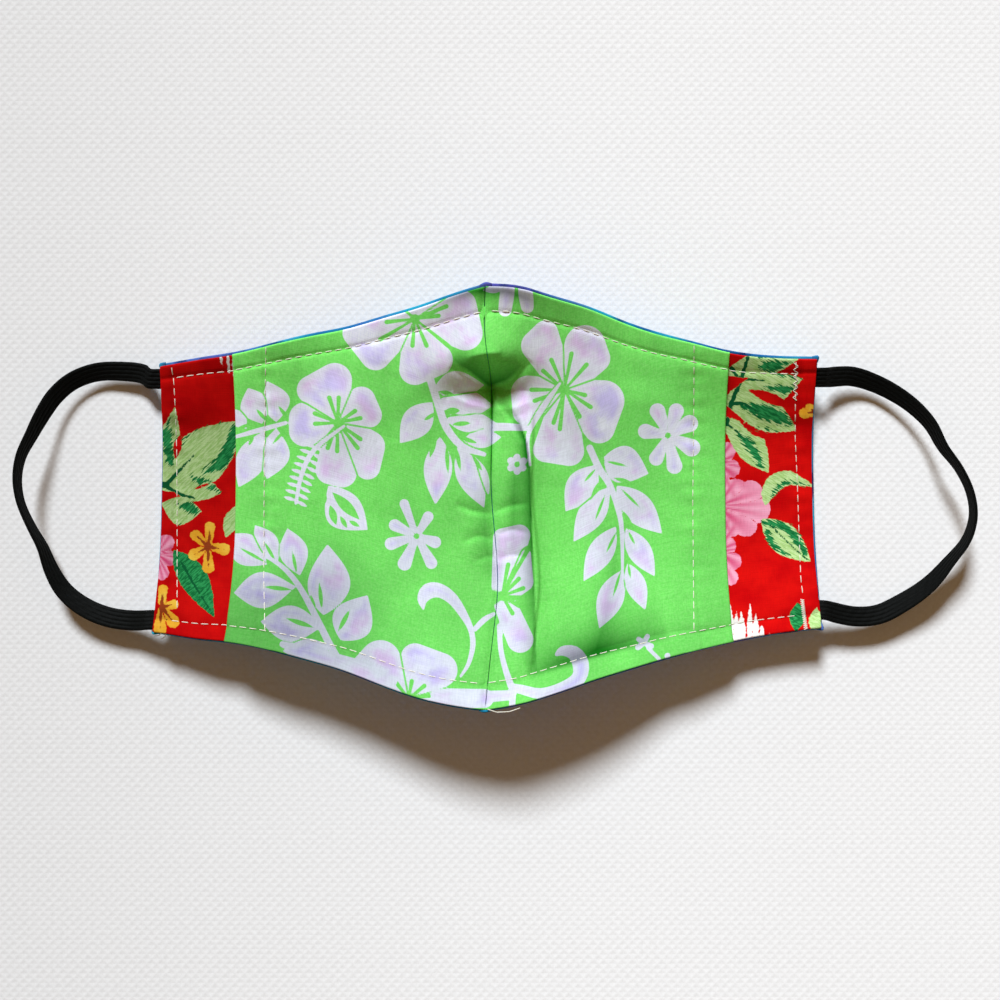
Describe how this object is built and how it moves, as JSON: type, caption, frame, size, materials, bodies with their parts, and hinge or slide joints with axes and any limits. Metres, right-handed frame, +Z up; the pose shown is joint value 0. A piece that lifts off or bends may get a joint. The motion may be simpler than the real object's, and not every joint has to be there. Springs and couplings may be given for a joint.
{
  "type": "cloth face mask",
  "caption": "Sewn cotton face mask with a printed filter pocket, floral side lining, curved centre seam and flat elastic ear loops, lying lining side up.",
  "frame": {"origin": "on the table below the middle of the laid mask with its ear loops", "axes": "+X to the wearer's right loop as laid, +Y to the nose edge, +Z up out of the lining"},
  "size_m": [0.2959, 0.1276, 0.0308],
  "materials": {
    "blue_cotton": "plain-woven cotton, mottled blue",
    "green_print_cotton": "plain-woven cotton, green with pale lilac flowers and leaves",
    "red_floral_cotton": "plain-woven cotton, red with painted flowers and leaves",
    "black_elastic": "flat braided elastic with lengthwise ribs"
  },
  "bodies": {
    "root": {"outer_shell_left": "blue_cotton", "outer_shell_right": "blue_cotton", "side_panel_left": "red_floral_cotton", "side_panel_right": "red_floral_cotton", "pocket_panel_left": "green_print_cotton", "pocket_panel_right": "green_print_cotton", "ear_loop_left": "black_elastic", "ear_loop_right": "black_elastic"}
  },
  "joints": []
}
